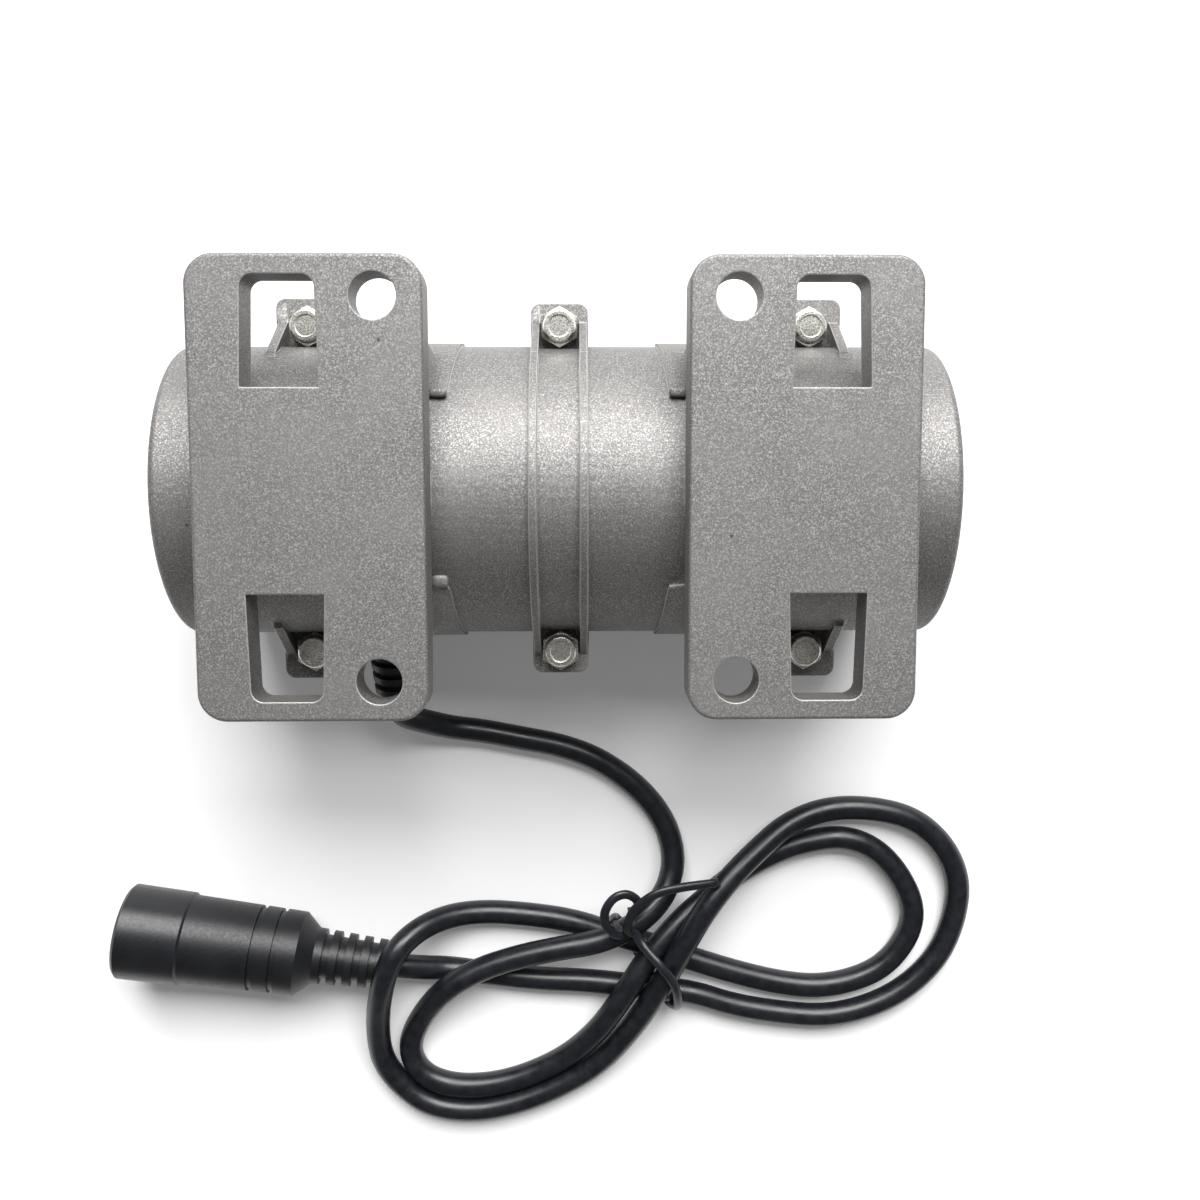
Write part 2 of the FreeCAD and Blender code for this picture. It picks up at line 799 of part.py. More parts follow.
def make_board():
    """The ring-shaped driver board, flat against the left bearing web."""
    body = start_body("driver_board")
    ring = start_sketch(body, "board_ring", "YZ_Plane", lift="-web_left")
    draw_circle(ring, "0", "0", "board_radius")
    draw_circle(ring, "0", "0", "board_bore")
    for side in ("", "-"):
        draw_circle(ring, "0", f"{side}board_screw_place", "board_screw")
    extrude(body, "Pad", ring, "board_thickness")
    return body


def flat_package(name, length, width, height):
    """Make a chip's body that stands on the board, centred on its spot."""
    box = doc.addObject("Part::Box", name)
    bind(box, Length=height, Width=length, Height=width)
    return place(box, y=f"-{length} / 2", z=f"-{width} / 2")


def make_board_parts():
    """The six power transistors, the controller and the smoothing capacitor."""
    chip = flat_package("transistor_form", "6.0", "5.0", "1.6")
    angles = range(-60, 66, 25)
    spots = [board_spot(angle, "part_place", BOARD_FACE) for angle in angles]
    transistors = group("power_transistors", chip, spots)
    chip = flat_package("controller_form", "7.0", "7.0", "1.2")
    controller = group("motor_controller", chip, [board_spot(135, "part_place", BOARD_FACE)])
    can = doc.addObject("Part::Cylinder", "capacitor_form")
    bind(can, Radius="4.0", Height="9.0")
    can.Placement = Placement(Vector(), Rotation(Vector(0, 1, 0), 90))
    capacitor = group("capacitor", can, [board_spot(235, "part_place", BOARD_FACE)])
    return transistors, controller, capacitor


def make_board_screws():
    """The two screws that hold the board to the web."""
    corners = [
        ("-board_screw_depth", "0"),
        ("-board_screw_depth", "board_screw"),
        ("board_thickness", "board_screw"),
        ("board_thickness", "2.2"),
        ("board_thickness + 1.2", "2.2"),
        ("board_thickness + 1.6", "1.4"),
        ("board_thickness + 1.6", "0"),
    ]
    screw = turned_piece("board_screw_form", corners, z="0")
    spots = [board_spot(angle, "board_screw_place", "-web_left") for angle in (90, 270)]
    return group("board_screws", screw, spots)


# ---------------------------------------------------------------- bearings


def race_half(land):
    """Half the width of the ball groove where it meets a ring's land."""
    return f"sqrt(race_radius^2 - ({land} - pitch_radius)^2)"


def make_bearing(side, x):
    """One shielded ball bearing: two rings, seven balls in a cage and two shields."""
    half = "bearing_half"
    groove = race_half("outer_land")
    outer = turned_piece(
        f"bearing_outer_{side}",
        [
            (f"-{half}", "bearing_radius"),
            (f"-{half}", "shield_rim"),
            ("-shield_step", "shield_rim"),
            ("-shield_step", "outer_land"),
            (f"-{groove}", "outer_land", "race_radius", "right"),
            (groove, "outer_land"),
            ("shield_step", "outer_land"),
            ("shield_step", "shield_rim"),
            (half, "shield_rim"),
            (half, "bearing_radius"),
        ],
        x=x,
    )
    groove = race_half("inner_land")
    inner = turned_piece(
        f"bearing_inner_{side}",
        [
            (f"-{half}", "bearing_bore"),
            (half, "bearing_bore"),
            (half, "inner_land"),
            (groove, "inner_land", "race_radius", "right"),
            (f"-{groove}", "inner_land"),
            (f"-{half}", "inner_land"),
        ],
        x=x,
    )
    shields = []
    for name, start, end in (
        ("near", "-shield_step - shield_thickness", "-shield_step"),
        ("far", "shield_step", "shield_step + shield_thickness"),
    ):
        low, high = "shield_bore", "shield_rim"
        corners = [(start, low), (end, low), (end, high), (start, high)]
        shields.append(turned_piece(f"shield_{name}_{side}", corners, x=x))
    shields = compound_of(f"bearing_shields_{side}", shields)
    ball = doc.addObject("Part::Sphere", f"ball_form_{side}")
    bind(ball, Radius="ball_radius")
    balls = group(f"bearing_balls_{side}", ball, ball_places())
    place(balls, x=x, z="axis_height")
    return outer, inner, shields, balls, make_cage(side, x)


def ball_places():
    """Seven places spaced evenly round the pitch circle."""
    pitch = value("pitch_radius")
    turns = [Rotation(Vector(1, 0, 0), 360 / 7 * number) for number in range(7)]
    return [Placement(turn.multVec(Vector(0, 0, pitch)), turn) for turn in turns]


def make_cage(side, x):
    """A band with a round pocket for each ball."""
    band = cylinder(f"cage_band_{side}", "cage_outer", "2 * cage_half", "-cage_half")
    bore = cylinder(f"cage_bore_{side}", "cage_inner", "2 * cage_half", "-cage_half")
    ring = combine("Cut", f"cage_ring_{side}", band, bore)
    ring.Placement = Placement(Vector(), Rotation(Vector(0, 1, 0), 90))
    pocket = doc.addObject("Part::Sphere", f"cage_pocket_{side}")
    bind(pocket, Radius="cage_pocket")
    pockets = group(f"cage_pockets_{side}", pocket, ball_places())
    place(pockets)
    cage = combine("Cut", f"bearing_cage_{side}", ring, pockets)
    return place(cage, x=x, z="axis_height")


def make_preload_washer():
    """The coned spring washer that loads the right bearing."""
    return turned_piece(
        "preload_washer",
        [
            ("seat_right", "11.2"),
            ("seat_right + 0.4", "11.2"),
            ("seat_right + 0.8", "12.5"),
            ("seat_right + 0.8", "bearing_radius - 0.1"),
            ("seat_right + 0.4", "bearing_radius - 0.1"),
            ("seat_right + 0.3", "12.5"),
        ],
    )


# ---------------------------------------------------------------- rotor


def make_shaft():
    """The stepped shaft, with grooves for the retaining rings and flats for the set screws."""
    half = [
        ("clip_radius", "shaft_core"),
        ("seat_left", "shaft_core"),
        ("seat_left", "shaft_radius"),
        ("seat_outer", "shaft_radius"),
        ("seat_outer", "clip_groove"),
        ("seat_outer + clip_width", "clip_groove"),
        ("seat_outer + clip_width", "shaft_radius"),
        ("shaft_half - shaft_chamfer", "shaft_radius"),
        ("shaft_half", "shaft_radius - shaft_chamfer"),
        ("shaft_half", "0"),
    ][1:]
    mirrored = [(f"-({x})", radius) for x, radius in reversed(half)]
    body = turned_piece("shaft", mirrored + half)
    flats = start_sketch(body, "shaft_flats", "XY_Plane", lift="flat_height")
    for left, right in (
        ("-weight_start - weight_length", "-weight_start"),
        ("weight_start", "weight_start + weight_length"),
    ):
        side = "shaft_radius"
        draw(flats, [(left, f"-{side}"), (right, f"-{side}"), (right, side), (left, side)])
    extrude(body, "Pocket", flats, "shaft_radius", back=True)
    return body


def make_rotor_core():
    """The lamination stack on the shaft."""
    low, high = "shaft_core", "core_radius"
    corners = [
        ("-stator_half", low),
        ("stator_half", low),
        ("stator_half", high),
        ("-stator_half", high),
    ]
    return turned_piece("rotor_core", corners)


def make_magnets():
    """Four arc magnets round the rotor core."""
    body = start_body("magnet_form", z="0")
    sketch = start_sketch(body, "magnet_arc", "YZ_Plane", lift="-stator_half")
    angle = "magnet_half_angle * 1 deg"
    inner, outer = "core_radius", "magnet_radius"
    draw(
        sketch,
        [
            (f"{outer} * cos({angle})", f"-{outer} * sin({angle})", outer, "left"),
            (f"{outer} * cos({angle})", f"{outer} * sin({angle})"),
            (f"{inner} * cos({angle})", f"{inner} * sin({angle})", inner, "right"),
            (f"{inner} * cos({angle})", f"-{inner} * sin({angle})"),
        ],
    )
    extrude(body, "Pad", sketch, "2 * stator_half")
    turns = [Rotation(Vector(1, 0, 0), 90 * number) for number in range(4)]
    return group("rotor_magnets", body, [Placement(Vector(), turn) for turn in turns])


def make_retaining_rings():
    """The two open rings that keep the bearings on the shaft."""
    rings = []
    for side, start in (("left", "-seat_outer - clip_width"), ("right", "seat_outer")):
        body = start_body(f"clip_{side}")
        sketch = start_sketch(body, f"clip_{side}_ring", "YZ_Plane", lift=start)
        draw_circle(sketch, "0", "0", "clip_radius")
        draw_circle(sketch, "0", "0", "clip_groove")
        extrude(body, "Pad", sketch, "clip_width")
        gap = start_sketch(body, f"clip_{side}_gap", "YZ_Plane", lift=start)
        draw(gap, [("-1.6", "3.0"), ("1.6", "3.0"), ("1.6", "8.0"), ("-1.6", "8.0")])
        extrude(body, "Pocket", gap, "clip_width", back=True)
        rings.append(body)
    return compound_of("retaining_rings", rings)


def make_weight(name, start):
    """A fan-shaped eccentric weight that hangs below the shaft, with its set screw hole on top."""
    body = start_body(name)
    sketch = start_sketch(body, f"{name}_fan", "YZ_Plane", lift=start)
    angle = "weight_half_angle * 1 deg"
    far_side, drop = f"weight_radius * sin({angle})", f"-weight_radius * cos({angle})"
    hub_top = "sqrt(hub_radius^2 - hub_side^2)"
    draw(
        sketch,
        [
            (f"-{far_side}", drop, "weight_radius", "left"),
            ("0", "-weight_radius", "weight_radius", "left"),
            (far_side, drop),
            ("hub_side", hub_top, "hub_radius", "left"),
            ("0", "hub_radius", "hub_radius", "left"),
            ("-hub_side", hub_top),
        ],
    )
    draw_circle(sketch, "0", "0", "shaft_radius")
    extrude(body, "Pad", sketch, "weight_length")
    hole = start_sketch(body, f"{name}_hole", "XY_Plane", lift="0")
    draw_circle(hole, f"{start} + weight_length / 2", "0", "set_screw_radius")
    extrude(body, "Pocket", hole, "hub_radius + 1", back=True)
    return body


def make_set_screws():
    """The set screw that locks each weight to the shaft."""
    rod = cylinder("set_rod", "set_screw_radius", "set_screw_top - flat_height", "flat_height")
    key = hexagon("set_key", "set_key_across", "2.0", "set_screw_top - 2.0")
    screw = combine("Cut", "set_piece", rod, key)
    middle = value("weight_start + weight_length / 2")
    spots = [Placement(Vector(x, 0, 0), Rotation()) for x in (-middle, middle)]
    return group("weight_set_screws", screw, spots)


# ---------------------------------------------------------------- cord and connector


def relief_corners(start, end, radius, tip_radius, count, depth, bore):
    """The outline of a tapered strain relief whose grooves leave a row of ribs."""
    pitch = (end - start) / (count + 0.5)
    outline = [(start, 0.0), (start, radius)]
    for number in range(count):
        place_in = start + pitch * (number + 0.5)
        for step, deep in ((0.0, 0), (0.0, 1), (0.5, 1), (0.5, 0)):
            x = place_in + pitch * step
            taper = radius + (tip_radius - radius) * (x - start) / (end - start)
            outline.append((x, taper - depth * deep))
    outline += [(end, tip_radius), (end, bore)]
    return [(f"{x:.3f}", f"{r:.3f}") for x, r in outline]


def gland_turn():
    """The gland points out of the barrel's side and a little down."""
    return Rotation(Vector(0, 0, 1), -90) * Rotation(Vector(0, 1, 0), value("gland_angle"))


def make_gland():
    """The moulded cord outlet: a neck in the shell's wall, a flange and a ribbed tail."""
    start, end = value("gland_flange_end"), value("gland_tip")
    tail = relief_corners(
        start,
        end,
        value("gland_rib_radius"),
        value("gland_tip_radius"),
        4,
        value("gland_slot_depth"),
        0.0,
    )
    corners = [
        ("gland_root", "0"),
        ("gland_root", "gland_neck"),
        ("gland_seat", "gland_neck"),
        ("gland_seat", "gland_flange"),
        ("gland_flange_end - 0.6", "gland_flange"),
        ("gland_flange_end", "gland_flange - 0.6"),
    ]
    return turned_piece("cable_gland", corners + tail[1:], turn=gland_turn(), x="gland_x")


def tube(name, points, radius):
    """Sweep a round cord along straight runs joined by tangent arcs, and print the arcs' radii."""
    points = [Vector(*point) for point in points]
    edges = []
    radii = []
    here = points[0]
    for before, corner, after in zip(points, points[1:], points[2:]):
        back, ahead = before - corner, after - corner
        trim = 0.45 * min(back.Length, ahead.Length)
        half = (math.pi - back.getAngle(ahead)) / 2
        arc_radius = trim / math.tan(half)
        radii.append(round(arc_radius, 1))
        back.normalize()
        ahead.normalize()
        start, end = corner + back * trim, corner + ahead * trim
        inward = (back + ahead).normalize()
        middle = corner + inward * (arc_radius / math.cos(half) - arc_radius)
        edges.append(Part.LineSegment(here, start).toShape())
        edges.append(Part.Arc(start, middle, end).toShape())
        here = end
    edges.append(Part.LineSegment(here, points[-1]).toShape())
    path = Part.Wire(edges)
    along = (points[1] - points[0]).normalize()
    section = Part.Wire(Part.Circle(points[0], along, radius).toShape())
    solid = path.makePipeShell([section], True, False)
    expected = math.pi * radius**2 * path.Length
    print(name, "length", round(path.Length, 1), "volume", round(solid.Volume / expected, 4))
    print(name, "radii", radii)
    piece = doc.addObject("Part::Feature", name)
    piece.Shape = solid
    return piece


def gland_point(distance):
    """A point on the gland's axis, at a distance from the barrel's axis."""
    tilt = math.radians(value("gland_angle"))
    drop = value("axis_height") - distance * math.sin(tilt)
    return (value("gland_x"), -distance * math.cos(tilt), drop)


def make_lead():
    """The cord from the gland, down onto the surface and round to the tied hank."""
    route = [
        gland_point(value("gland_tip")),
        gland_point(value("gland_tip") + 5.5),
        (-35.6, -53.4, 9.3),
        (-31.2, -55.9, 5.2),
        (-24.6, -56.6, 3.0),
        (-15.5, -56.6, 2.8),
        (-4.0, -58.3, 2.8),
        (8.0, -62.4, 2.8),
        (18.2, -70.2, 2.8),
        (25.0, -80.6, 3.2),
        (26.2, -90.6, 4.6),
        (22.8, -99.6, 7.0),
    ]
    return tube("cord_lead", route, value("cord_radius"))


HANK = [
    ("-17.0", "-97.3"),
    ("15.0", "-102.6"),
    ("30.0", "-95.4"),
    ("47.0", "-81.8", "28.4", "right"),
    ("68.5", "-72.2", "28.4", "right"),
    ("96.9", "-100.6", "28.4", "right"),
    ("62.0", "-128.2"),
    ("25.0", "-122.8"),
    ("2.0", "-139.6", "27.2", "right"),
    ("-20.5", "-151.5", "27.2", "right"),
    ("-47.7", "-124.3", "27.2", "right"),
]
RIGHT_EYE = [
    ("37.0", "-109.0"),
    ("55.0", "-88.5", "15.4", "right"),
    ("64.7", "-85.2", "15.4", "right"),
    ("80.1", "-100.6", "15.4", "right"),
    ("62.0", "-115.8"),
]
LEFT_EYE = [
    ("8.0", "-119.8"),
    ("-3.0", "-131.0"),
    ("-18.0", "-140.3", "11.5", "right"),
    ("-33.5", "-129.5", "11.5", "right"),
    ("-26.0", "-119.0"),
]


def make_tie():
    """The wire tie, once round the waist of the hank, with a bent tail and a short curl."""
    route = [
        (34.0, -88.6, 14.6),
        (27.0, -89.0, 16.6),
        (20.4, -90.9, 17.4),
        (16.0, -95.4, 16.6),
        (15.6, -101.4, 14.4),
        (19.4, -110.6, 13.6),
        (23.6, -120.2, 13.2),
        (25.6, -124.9, 7.2),
        (22.6, -119.0, 1.0),
        (18.2, -109.2, 1.0),
        (14.0, -99.6, 1.0),
        (11.4, -96.4, 7.6),
        (12.0, -99.8, 14.2),
        (9.8, -96.0, 16.4),
        (12.4, -91.8, 16.6),
        (15.6, -91.6, 15.4),
    ]
    return tube("cord_tie", route, value("tie_radius"))


def make_hank(*seated):
    """The outer shape of the tied figure of eight, with a seat for each piece pressed into it."""
    body = start_body("hank_form", z="0")
    sketch = start_sketch(body, "hank_outline", "XY_Plane")
    for outline in (HANK, RIGHT_EYE, LEFT_EYE):
        draw(sketch, outline)
    extrude(body, "Pad", sketch, "hank_height")
    top = value("hank_height")

    def is_flat(edge):
        box = edge.BoundBox
        return box.ZLength < 0.01 and (box.ZMax < 0.01 or box.ZMin > top - 0.01)

    round_edges(body, "hank_edge", "hank_round", is_flat)
    pressed = compound_of("pressed_in", seated)
    return combine("Cut", "cord_hank", body, pressed)


def plug_turn():
    """The connector lies along the surface, turned and dipping a little towards its cord."""
    dip = Rotation(Vector(0, 1, 0), value("plug_dip"))
    return Rotation(Vector(0, 0, 1), value("plug_turn")) * dip


def plug_piece(name, corners):
    """Turn a piece of the connector about the connector's own axis."""
    return turned_piece(name, corners, turn=plug_turn(), x="plug_x", y="plug_y", z="plug_z")


def make_connector_sleeve():
    """The plain collar round the connector's open end."""
    return plug_piece(
        "connector_sleeve",
        [
            ("0", "socket_radius"),
            ("0", "sleeve_radius - 0.7"),
            ("0.7", "sleeve_radius"),
            ("sleeve_length - 0.5", "sleeve_back_radius"),
            ("sleeve_length", "sleeve_back_radius - 0.5"),
            ("sleeve_length", "socket_radius"),
        ],
    )


def make_connector_body():
    """The moulded grip behind the collar, with two ring grooves and a conical back."""
    return plug_piece(
        "connector_body",
        [
            ("socket_depth", "0"),
            ("socket_depth", "socket_radius"),
            ("sleeve_length", "socket_radius"),
            ("sleeve_length", "body_radius"),
            ("29.7", "9.6"),
            ("29.7", "9.0"),
            ("31.0", "9.0"),
            ("31.0", "9.6"),
            ("34.4", "9.5"),
            ("34.4", "8.9"),
            ("35.7", "8.9"),
            ("35.7", "9.5"),
            ("body_length", "body_back_radius"),
            ("body_taper_end", "relief_radius"),
            ("body_taper_end", "0"),
        ],
    )


def make_connector_insert():
    """The insulator that carries the contacts, at the bottom of the socket."""
    return plug_piece(
        "connector_insert",
        [
            ("insert_face", "0"),
            ("insert_face", "6.0"),
            ("insert_face + 0.5", "6.5"),
            ("socket_depth - 2", "6.5"),
            ("socket_depth - 2", "socket_radius"),
            ("socket_depth", "socket_radius"),
            ("socket_depth", "0"),
        ],
    )


def make_connector_contacts():
    """Four round contacts that stand out of the insulator."""
    pin = doc.addObject("Part::Cylinder", "contact_form")
    bind(pin, Radius="pin_radius", Height="2.2")
    pin.Placement = Placement(Vector(), Rotation(Vector(0, 1, 0), 90))
    reach = value("pin_circle")
    spots = []
    for number in range(4):
        turn = Rotation(Vector(1, 0, 0), 45 + 90 * number)
        out = turn.multVec(Vector(0, reach, 0))
        spots.append(Placement(Vector(value("insert_face") - 2.2, out.y, out.z), Rotation()))
    pins = group("connector_contacts", pin, spots)
    pins.Placement = Placement(Vector(), plug_turn())
    return place(pins, "plug_x", "plug_y", "plug_z")


def make_connector_relief():
    """The ribbed strain relief at the connector's back."""
    sizes = ("body_taper_end", "relief_end", "relief_radius", "relief_tip_radius")
    start, end, radius, tip = [value(size) for size in sizes]
    corners = relief_corners(start, end, radius, tip, 4, 1.2, 0.0)
    return plug_piece("connector_relief", corners)


# ---------------------------------------------------------------- build and write


def check_document():
    """Stop if any object failed to build."""
    for item in doc.Objects:
        if {"Invalid", "Error"} & set(item.State):
            raise SystemExit(f"{item.Label} failed: {item.State}")


def write_parts(pieces):
    """Check each piece's shape and write it to its own file."""
    os.makedirs("parts", exist_ok=True)
    for piece in pieces:
        shape = piece.Shape
        if shape.isNull() or not shape.isValid():
            raise SystemExit(f"{piece.Label} has no valid shape")
        shape.exportStep(f"parts/{piece.Label}.step")
        print(piece.Label, len(shape.Solids), round(shape.Volume, 1))


def main():
    """Build every piece and write the parts folder."""
    fill_sheet()
    pieces = [make_foot_shell(), make_crown_shell()]
    pieces += [make_shell_screws(), make_lock_nuts(), make_nut_inserts()]
    core = toothed_plate("stator_core", "stator_radius", "-stator_half", "2 * stator_half")
    pieces += [core, make_insulators(), make_coils()]
    pieces += [make_board(), *make_board_parts(), make_board_screws()]
    pieces += make_bearing("left", "-bearing_x")
    pieces += make_bearing("right", "bearing_x")
    pieces += [make_preload_washer(), make_shaft(), make_rotor_core(), make_magnets()]
    pieces += [make_retaining_rings(), make_set_screws()]
    pieces += [make_weight("eccentric_left", "-weight_start - weight_length")]
    pieces += [make_weight("eccentric_right", "weight_start")]
    pieces += [make_connector_sleeve(), make_connector_body(), make_connector_insert()]
    lead, tie, relief = make_lead(), make_tie(), make_connector_relief()
    pieces += [make_connector_contacts(), relief, make_gland(), lead, tie]
    pieces += [make_hank(lead, tie, relief)]
    doc.recompute()
    check_document()
    write_parts(pieces)


main()
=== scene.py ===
import math

import bmesh
import bpy
import numpy as np
from mathutils import Matrix, Vector


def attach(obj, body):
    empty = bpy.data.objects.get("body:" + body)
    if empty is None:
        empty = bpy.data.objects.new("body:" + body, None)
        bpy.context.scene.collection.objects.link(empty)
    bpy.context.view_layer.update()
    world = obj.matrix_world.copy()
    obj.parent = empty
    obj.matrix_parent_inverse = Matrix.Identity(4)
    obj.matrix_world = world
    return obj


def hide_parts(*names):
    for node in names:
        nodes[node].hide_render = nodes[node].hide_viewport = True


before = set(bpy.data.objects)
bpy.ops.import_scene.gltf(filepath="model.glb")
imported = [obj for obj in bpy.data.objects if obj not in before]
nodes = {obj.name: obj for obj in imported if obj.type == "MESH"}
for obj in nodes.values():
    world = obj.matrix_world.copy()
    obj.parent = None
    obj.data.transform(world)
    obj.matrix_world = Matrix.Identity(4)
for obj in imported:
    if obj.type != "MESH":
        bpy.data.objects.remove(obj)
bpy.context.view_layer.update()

MM = 0.001

# ---------------------------------------------------------------- the camera, the floor and the light

CAMERA_PLACE = (0.00361, 0.00093, 0.26970)
CAMERA_TURNS = ((-5.63, "X"), (-1.07, "Y"), (-0.17, "Z"))  # degrees, from looking straight down
SENSOR_WIDTH, FOCAL_LENGTH = 36.0, 34.68
NEAREST, FARTHEST = 0.01, 10.0

LAMP_PLACE, LAMP_AIM = (0.08, 0.80, 0.85), (0, -0.02, 0)
LAMP_WIDTH, LAMP_HEIGHT, LAMP_POWER = 1.1, 0.8, 32.0
SKY_STRENGTH = 0.14
FLOOR_HALF = 3.0
FLOOR_LIFT = 0.10


def make_camera():
    """A camera nearly straight above the feet."""
    data = bpy.data.cameras.new("camera")
    data.sensor_width, data.lens = SENSOR_WIDTH, FOCAL_LENGTH
    data.clip_start, data.clip_end = NEAREST, FARTHEST
    camera = bpy.data.objects.new("camera", data)
    turn = Matrix.Identity(4)
    for degrees, axis in CAMERA_TURNS:
        turn = turn @ Matrix.Rotation(math.radians(degrees), 4, axis)
    camera.matrix_world = Matrix.Translation(CAMERA_PLACE) @ turn
    bpy.context.scene.collection.objects.link(camera)
    bpy.context.scene.camera = camera


def add_lamp(name, place, aim, width, height, power):
    """A soft oblong lamp at a place, turned to face a point."""
    data = bpy.data.lights.new(name, "AREA")
    data.shape, data.size, data.size_y, data.energy = "RECTANGLE", width, height, power
    lamp = bpy.data.objects.new(name, data)
    facing = (Vector(aim) - Vector(place)).to_track_quat("-Z", "Y")
    lamp.matrix_world = Matrix.Translation(place) @ facing.to_matrix().to_4x4()
    bpy.context.scene.collection.objects.link(lamp)


# ---------------------------------------------------------------- materials


def colour(code):
    """Turn an sRGB hex value to linear red, green, blue and alpha."""
    parts = np.array([int(code[i : i + 2], 16) for i in (1, 3, 5)]) / 255
    linear = np.where(parts <= 0.04045, parts / 12.92, ((parts + 0.055) / 1.055) ** 2.4)
    return (*linear.tolist(), 1.0)


def add(material, kind, inputs=None, **settings):
    """Add a node. Settings are its own properties; inputs are its sockets' values or what feeds them."""
    tree = material.node_tree
    made = tree.nodes.new(kind)
    for name, setting in settings.items():
        setattr(made, name, setting)
    for name, given in (inputs or {}).items():
        if isinstance(given, bpy.types.NodeSocket):
            tree.links.new(given, made.inputs[name])
        else:
            made.inputs[name].default_value = given
    return made


def ramp(material, fac, *stops):
    """A colour ramp through stops, each a place and an sRGB hex value."""
    made = add(material, "ShaderNodeValToRGB", {"Fac": fac})
    elements = made.color_ramp.elements
    while len(elements) < len(stops):
        elements.new(0.5)
    for element, (place, code) in zip(elements, stops):
        element.position, element.color = place, colour(code)
    return made.outputs["Color"]


def blank(name):
    """A new material whose surface shader and object coordinates are ready to use."""
    material = bpy.data.materials.new(name)
    material.use_nodes = True
    shader = material.node_tree.nodes["Principled BSDF"]
    place = add(material, "ShaderNodeTexCoord").outputs["Object"]
    return material, shader, place


def speckle(material, place, size_mm, detail=2.0, rough=0.5):
    """Noise whose blotches are about size_mm across."""
    inputs = {"Vector": place, "Scale": 1000 / size_mm, "Detail": detail, "Roughness": rough}
    return add(material, "ShaderNodeTexNoise", inputs).outputs["Fac"]


def span(material, fac, low, high, first=0.0, last=1.0):
    """Stretch the values between low and high to run from first to last, clamped."""
    inputs = {"Value": fac, "From Min": low, "From Max": high, "To Min": first, "To Max": last}
    return add(material, "ShaderNodeMapRange", inputs).outputs["Result"]


def mix(material, fac, first, second):
    """Blend two colours."""
    made = add(material, "ShaderNodeMix", data_type="RGBA")
    for socket, given in zip((made.inputs[0], made.inputs[6], made.inputs[7]), (fac, first, second)):
        if isinstance(given, bpy.types.NodeSocket):
            material.node_tree.links.new(given, socket)
        else:
            socket.default_value = given
    return made.outputs[2]


def finish_shader(material, shader, **inputs):
    """Set the shader's sockets, whose names are given with underscores for spaces."""
    for name, given in inputs.items():
        socket = shader.inputs[name.replace("_", " ")]
        if isinstance(given, bpy.types.NodeSocket):
            material.node_tree.links.new(given, socket)
        else:
            socket.default_value = given
    return material


def bump(material, height, depth_mm, normal=None):
    """Raise the surface by a height pattern, depth_mm from its lowest to its highest."""
    inputs = {"Height": height, "Distance": depth_mm * MM, "Strength": 1.0}
    if normal:
        inputs["Normal"] = normal
    return add(material, "ShaderNodeBump", inputs).outputs["Normal"]


def rounded_edge_and_highlight(material, radius_mm):
    """The normal with its edges rounded to radius_mm, and how far it leans from the true one:
    0 where they agree, 1 at a sharp edge. That lean masks a painted highlight along the edges."""
    rounded = add(material, "ShaderNodeBevel", {"Radius": radius_mm * MM}, samples=6).outputs["Normal"]
    flat = add(material, "ShaderNodeNewGeometry").outputs["Normal"]
    agree = add(material, "ShaderNodeVectorMath", operation="DOT_PRODUCT")
    material.node_tree.links.new(rounded, agree.inputs[0])
    material.node_tree.links.new(flat, agree.inputs[1])
    return rounded, span(material, agree.outputs["Value"], 0.98, 0.80)


def die_cast_aluminium():
    """Die-cast aluminium, shot-blasted: a dull warm grey of fine bright and dark grains, with a painted
    highlight that lightens all its edges, and a few dark chips where the skin of the casting has broken."""
    material, shader, place = blank("die_cast_aluminium")
    grain = speckle(material, place, 0.3, 3.0, 0.6)
    cloud = speckle(material, place, 14.0, 3.0, 0.55)
    skin = ramp(material, grain, (0.34, "#6a6968"), (0.52, "#807e7d"), (0.68, "#b2b0ad"))
    warm = mix(material, span(material, cloud, 0.35, 0.65, 0.0, 0.35), skin, colour("#8e8c8a"))
    rounded, highlight_edge_mask = rounded_edge_and_highlight(material, 0.45)
    # painted highlight: every edge is painted lighter, towards #d6d4d1
    edge_highlighted = mix(material, highlight_edge_mask, warm, colour("#d6d4d1"))
    pits = add(material, "ShaderNodeTexVoronoi", {"Vector": place, "Scale": 120.0}).outputs["Distance"]
    chip = span(material, pits, 0.045, 0.02)
    chipped = mix(material, chip, edge_highlighted, colour("#4a4745"))
    height = speckle(material, place, 0.6, 4.0, 0.6)
    normal = bump(material, height, 0.03, rounded)
    rough = span(material, grain, 0.3, 0.7, 0.66, 0.54)
    return finish_shader(
        material, shader, Base_Color=chipped, Metallic=0.7, Roughness=rough, Normal=normal
    )


def zinc_plated_steel():
    """Zinc-plated steel: bright, slightly yellow, with faint tumbling marks and a painted highlight that
    lightens its edges.
    """
    material, shader, place = blank("zinc_plated_steel")
    marks = speckle(material, place, 0.35, 3.0, 0.6)
    tint = ramp(material, marks, (0.35, "#c4c3bc"), (0.65, "#e6e4dd"))
    rounded, highlight_edge_mask = rounded_edge_and_highlight(material, 0.15)
    # painted highlight: every edge is painted lighter, towards #efede6
    edge_highlighted = mix(material, highlight_edge_mask, tint, colour("#efede6"))
    normal = bump(material, marks, 0.01, rounded)
    rough = span(material, marks, 0.3, 0.7, 0.22, 0.36)
    return finish_shader(
        material, shader, Base_Color=edge_highlighted, Metallic=0.95, Roughness=rough, Normal=normal
    )


